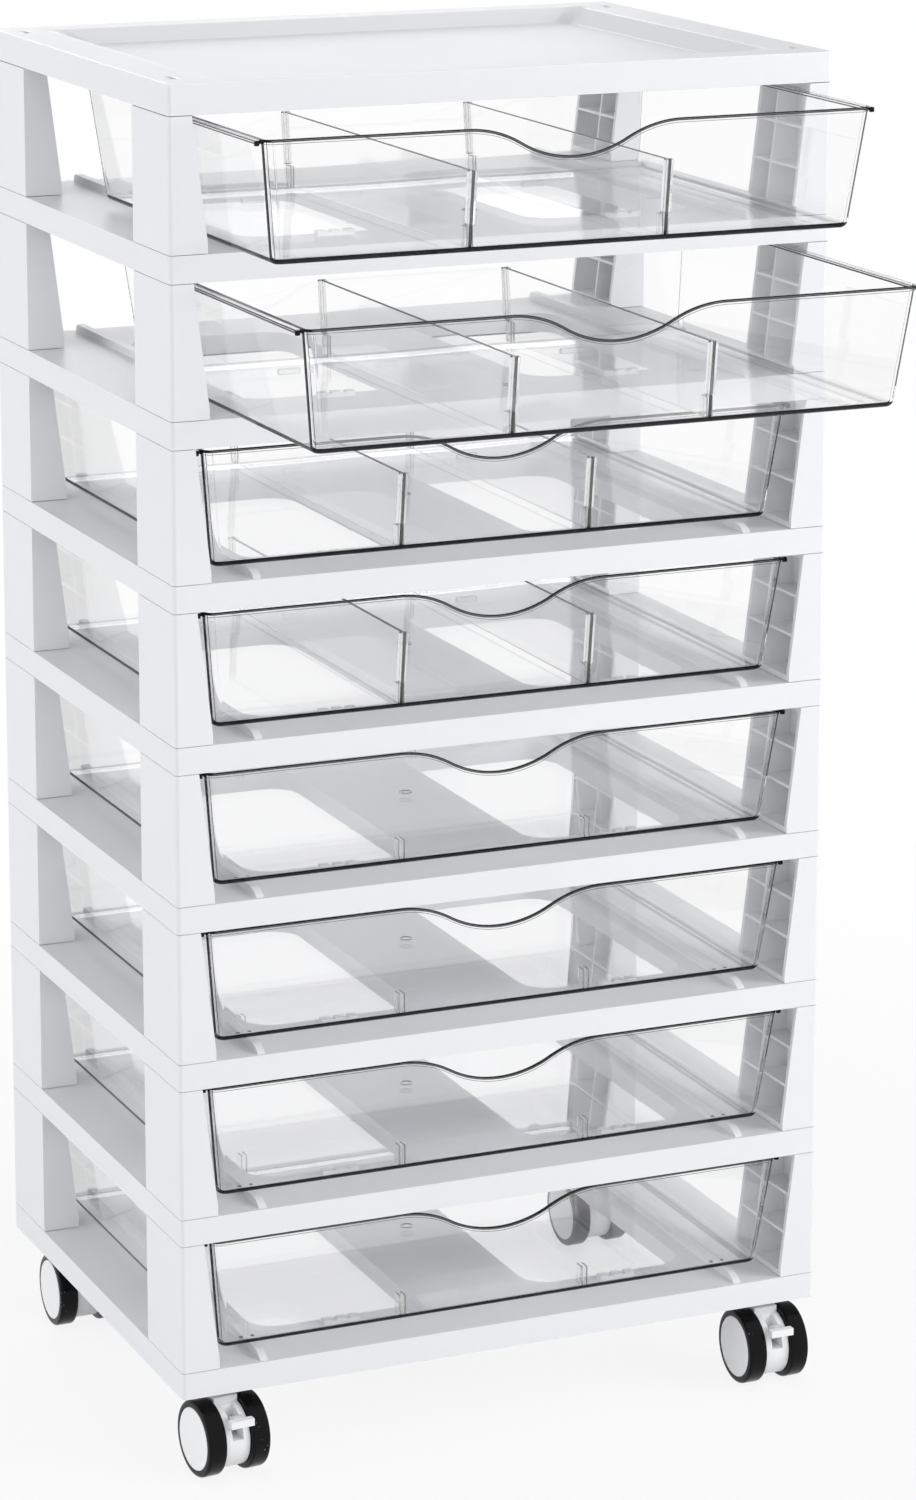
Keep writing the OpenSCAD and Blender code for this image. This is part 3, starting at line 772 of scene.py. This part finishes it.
def is_film(at, n):
    if at.z > FILM_TOP or abs(n.z) < 0.12:
        return False
    at_back = at.y > BODY_D - YB0 - FILM_BEND
    at_right = at.x > HALF_B - FILM_BEND and at.y > YB0 + FILM_BEND + 1
    return abs(n.z) > 0.98 or at_back or at_right


paint_faces(shell, FLOOR, is_film)
first_drawer = join([shell, *rims, *flange(-1), *flange(1), *drawer_details()])
print("drawer faces:", len(first_drawer.data.polygons))

for k in range(1, 9):
    place = (0, FRONT - OPEN.get(k, 0), tier_floor(k))
    done(copy_of(first_drawer, f"Drawer_{k}", place), f"Drawer_{k}", f"drawer_{k}",
         [f"drawer_{k}"], angle=28)

# %% [markdown]
# ## Dividers
# A divider is a clear plate with a thick bead down each end, and the ends lean with
# the drawer's walls. The plate and its beads start upright and every point is then
# shifted in proportion to its height, which gives the lean in one go.


# %% Dividers
PLATE_HALF, PLATE_LOW, PLATE_TOP = 0.9, 2.1, 39.9
END_HALF, END_T, END_LOW, END_TOP = 2.3, 3.0, 13.0, 40.0


def lean(piece):
    for vertex in piece.data.vertices:
        shift = LEAN * vertex.co.z
        vertex.co.y += -shift if vertex.co.y < BODY_D / 2 * MM else shift


def divider():
    front, back = YB0 + WALL + 0.25, BODY_D - YB0 - WALL - 0.25
    plate = block("plate", (-PLATE_HALF, front, PLATE_LOW), (PLATE_HALF, back, PLATE_TOP))
    give(plate, CLEAR)
    round_edges(plate, 0.35, 2)
    # painted shade: grey along the plate's top, dark on the beads' tops, pale grey down their
    # corners
    paint_faces(plate, PAINTED_GREY, lambda at, n: n.z > 0.3)
    ends = []
    for y in (front, back - END_T):
        end = clear_block((-END_HALF, y, END_LOW), (END_HALF, y + END_T, END_TOP), SHEET, 0.5,
                          lambda at, n: n.z > 0.3 and abs(n.x) > 0.3, EDGE)
        paint_faces(end, PAINTED_PALE_GREY, lambda at, n: abs(n.x) > 0.3 and abs(n.y) > 0.3)
        ends.append(end)
    made = join([plate, *ends])
    lean(made)
    return made


first_divider = divider()
for k in range(1, 5):
    for name, s in (("left", -1), ("right", 1)):
        place = (s * DIVIDER_X, FRONT - OPEN.get(k, 0), tier_floor(k))
        done(copy_of(first_divider, f"Divider_{k}_{name}", place), f"Divider_{k}_{name}",
             f"drawer_{k}", [f"divider_{k}_{name}"], angle=28)

for spare in (first_drawer, first_divider):
    bpy.data.objects.remove(spare)

# %% [markdown]
# ## Casters
# Each caster is a white housing between two black wheels. A wheel starts as a
# cylinder: its rims are rounded, its outer face is sunk to hold the white cap and its
# inner face is hollowed. A cap is a disc whose face rises in shallow rings. The
# housings and the brake levers keep their exact shape with rounded edges.


# %% Casters
WHEEL_R, WHEEL_T, CASTER_W = 19.75, 10.1, 34.4
STEM_IN, TRAIL = 24.2, 13.9
TYRE_ROUND, TYRE_MOUTH, TYRE_SUNK = 1.7, 16.3, 2.2
BACK_RIM, BACK_SUNK = 2.6, 2.5
CAP_R, CAP_T = 16.1, 2.2
CAP_RINGS = ((0.5, 0.18), (2.5, 0.12), (4.0, 0.09), (5.0, 0.04))
CASTERS = {"front_left": (-1, 0, 5.5), "front_right": (1, 0, 0.0),
           "back_left": (-1, 1, 0.0), "back_right": (1, 1, 0.0)}


def caster_place(side, back, turn):
    stem = Vector((side * (BODY_W / 2 - STEM_IN),
                   FRONT + (BODY_D - STEM_IN if back else STEM_IN), WHEEL_R)) * MM
    turned = Matrix.Rotation(math.radians(turn), 4, "Z")
    return Matrix.Translation(stem) @ turned @ Matrix.Translation(Vector((0, -TRAIL * MM, 0)))


def wheel():
    bpy.ops.mesh.primitive_cylinder_add(vertices=72, radius=WHEEL_R * MM, depth=WHEEL_T * MM,
                                        location=((CASTER_W - WHEEL_T) / 2 * MM, 0, 0),
                                        rotation=(0, math.pi / 2, 0))
    piece = bpy.context.object
    bpy.ops.object.transform_apply(location=True, rotation=True, scale=True)
    pick(piece, "EDGE", lambda place, along: abs(along.x) < 1e-6)
    bpy.ops.mesh.bevel(offset=TYRE_ROUND * MM, segments=4)
    bpy.ops.object.mode_set(mode="OBJECT")
    pick(piece, "FACE", lambda place, normal: normal.x > 0.99)
    bpy.ops.mesh.inset(thickness=(WHEEL_R - TYRE_ROUND - TYRE_MOUTH) * MM)
    bpy.ops.mesh.extrude_region_move(TRANSFORM_OT_translate={"value": (-TYRE_SUNK * MM, 0, 0)})
    bpy.ops.object.mode_set(mode="OBJECT")
    pick(piece, "FACE", lambda place, normal: normal.x < -0.99)
    bpy.ops.mesh.inset(thickness=BACK_RIM * MM)
    bpy.ops.mesh.extrude_region_move(TRANSFORM_OT_translate={"value": (BACK_SUNK * MM, 0, 0)})
    bpy.ops.object.mode_set(mode="OBJECT")
    give(piece, [black_tyre])
    return piece


def cap():
    bpy.ops.mesh.primitive_cylinder_add(vertices=72, radius=CAP_R * MM, depth=CAP_T * MM,
                                        location=((CASTER_W - CAP_T) / 2 * MM, 0, 0),
                                        rotation=(0, math.pi / 2, 0))
    piece = bpy.context.object
    bpy.ops.object.transform_apply(location=True, rotation=True, scale=True)
    pick(piece, "FACE", lambda place, normal: normal.x > 0.99)
    for inset, out in CAP_RINGS:
        bpy.ops.mesh.inset(thickness=inset * MM)
        bpy.ops.transform.translate(value=(out * MM, 0, 0))
    bpy.ops.object.mode_set(mode="OBJECT")
    round_edges(piece, 0.25, 2, 50)
    give(piece, [caster_white])
    return piece


first_wheel, first_cap = wheel(), cap()
for corner, (side, back, turn) in CASTERS.items():
    there = caster_place(side, back, turn)
    for which in ("outer", "inner"):
        facing = side if which == "outer" else -side
        flip = Matrix.Rotation(math.pi if facing < 0 else 0, 4, "Z")
        for start, name, slot in ((first_wheel, "wheel", "black_tyre"),
                                  (first_cap, "cap", "white_caster_plastic")):
            made = copy_of(start, name, (0, 0, 0))
            made.data.transform(there @ flip)
            done(made, f"{name.capitalize()}_{corner}_{which}", f"wheel_{corner}_{which}",
                 [f"{name}_{corner}_{which}"], angle=35)
    done(rounded_copy(f"housing_{corner}", CASTER_ROUND, [caster_white]), f"Housing_{corner}",
         f"caster_{corner}", [f"housing_{corner}"], angle=40)
    if not back:
        done(rounded_copy(f"brake_{corner}", CASTER_ROUND, [caster_white]), f"Brake_{corner}",
             f"brake_{corner}", [f"brake_{corner}"], angle=40)
    for name in ("stem", "axle"):
        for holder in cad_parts[f"{name}_{corner}"].material_slots:
            holder.material = steel
for spare in (first_wheel, first_cap):
    bpy.data.objects.remove(spare)

# %% [markdown]
# ## Room, light and camera
# The floor is a wide disc. Near the tower it is a pale surface that takes a soft
# shadow, and further out it fades to pure white, so there is no horizon. The world
# is white to the eye and weaker as a light, brightest low down at the front left. One
# large soft lamp at the front right lights the front, two weaker ones the left side,
# and one behind reaches in between the decks. The first is kept out of reflections,
# since a satin face seen at a low angle would mirror it as a patch of pure white.


# %% The floor
FLOOR_R, FLOOR_GAP = 12.0, 0.0003
FADE_FROM, FADE_TO = 0.35, 1.1


def floor_white():
    made, paint = material("floor_white")
    eye = paint.any_ray("Is Camera Ray", "Is Glossy Ray", "Is Transmission Ray")
    away = paint.node("ShaderNodeVectorMath", {"operation": "LENGTH"}, [paint.place()], "Value")
    fade = paint.node("ShaderNodeMapRange", {}, {"Value": away, "From Min": FADE_FROM,
                                                 "From Max": FADE_TO, "To Min": 0.86, "To Max": 1.0})
    plain = paint.node("ShaderNodeBsdfDiffuse", {}, {"Color": (0.85, 0.85, 0.85, 1)})
    shine = paint.node("ShaderNodeEmission", {}, {"Color": (1, 1, 1, 1), "Strength": 1.0})
    surface(paint, paint.node("ShaderNodeMixShader", {}, [fade * eye, plain, shine]))
    return made


bpy.ops.mesh.primitive_circle_add(vertices=96, radius=FLOOR_R, fill_type="NGON",
                                  location=(0, 0, -FLOOR_GAP))
floor = bpy.context.object
floor.name = "Floor"
bpy.ops.object.transform_apply(location=True, rotation=True, scale=True)
floor.data.materials.append(floor_white())

# %% [markdown]
# The world uses two Backgrounds, chosen by the kind of ray. Its strength as a light
# grows towards one side through the dot product of the ray's direction with a short
# vector, which gives a soft shading across the tower. The lamps are large, so that
# their shadows have no hard edge, and the camera doesn't see them.

# %% World and lamps
WORLD_LIGHT, WORLD_LEAN = 0.74, (-0.25, -0.25, -0.25)
world = bpy.data.worlds.new("Studio")
bpy.context.scene.world = world
world.use_nodes = True
world.node_tree.nodes.clear()
sky = Paint(world.node_tree)
eye = sky.any_ray("Is Camera Ray", "Is Glossy Ray", "Is Transmission Ray")
white = sky.node("ShaderNodeBackground", {}, {"Color": (1, 1, 1, 1), "Strength": 1.0})
toward = sky.node("ShaderNodeVectorMath", {"operation": "DOT_PRODUCT"},
                  [sky.node("ShaderNodeTexCoord"), WORLD_LEAN], "Value")
light = sky.node("ShaderNodeBackground", {}, {"Color": (0.97, 0.98, 1, 1),
                                              "Strength": WORLD_LIGHT + toward})
sky.node("ShaderNodeOutputWorld", {}, {"Surface": sky.node("ShaderNodeMixShader", {},
                                                          [eye, light, white])})


def lamp(name, place, aim, size, power):
    bpy.ops.object.light_add(type="AREA", location=place)
    made = bpy.context.object
    made.name = name
    made.data.size, made.data.energy = size, power
    made.visible_camera = made.visible_transmission = False
    made.rotation_mode = "QUATERNION"
    made.rotation_quaternion = (Vector(aim) - Vector(place)).to_track_quat("-Z", "Y")
    return made


MIDDLE, LAMP_SIZE = (0, 0, 0.38), 1.4
key = lamp("Key", (2.0, -1.6, 1.3), MIDDLE, LAMP_SIZE, 37)
key.visible_glossy = False
lamp("Left", (-2.1, 1.0, 0.9), MIDDLE, LAMP_SIZE, 5)
lamp("Low left", (-2.2, 0.2, 0.5), MIDDLE, LAMP_SIZE, 7)
lamp("Back", (0.4, 2.2, 0.75), MIDDLE, LAMP_SIZE, 10)

# %% [markdown]
# The camera stands to the left and looks a little down. Its lens is long, so the
# tower's sides stay nearly parallel. A shift of the lens does part of the looking
# down, which keeps the uprights nearly upright, as a product photographer would.

# %% The camera
AZIMUTH, DOWN = 23.37, 11.22
CAMERA_AT = (-0.9312, -2.1617, 0.97155)
LENS, SENSOR, SHIFT = 112.66, 36.0, -0.2
bpy.ops.object.camera_add(location=CAMERA_AT)
camera = bpy.context.object
camera.name = "Camera"
a, d = math.radians(AZIMUTH), math.radians(DOWN)
ahead = Vector((math.sin(a) * math.cos(d), math.cos(a) * math.cos(d), -math.sin(d)))
camera.rotation_mode = "QUATERNION"
camera.rotation_quaternion = ahead.to_track_quat("-Z", "Y")
camera.data.lens, camera.data.sensor_width = LENS, SENSOR
camera.data.shift_y = SHIFT
camera.data.clip_end = 60
bpy.context.scene.camera = camera

# %% [markdown]
# Colours go to the screen as they are, with no film curve, so that white stays white.
# A ray through eight clear drawers crosses many walls, and would turn black if it were
# stopped early, so the limits on its bounces are raised.

# %% Colour and depth of the light paths
BOUNCES, SEE_THROUGH = 28, 48
scene = bpy.context.scene
scene.view_settings.view_transform = "Standard"
scene.cycles.max_bounces = BOUNCES
scene.cycles.transmission_bounces = BOUNCES
scene.cycles.transparent_max_bounces = SEE_THROUGH
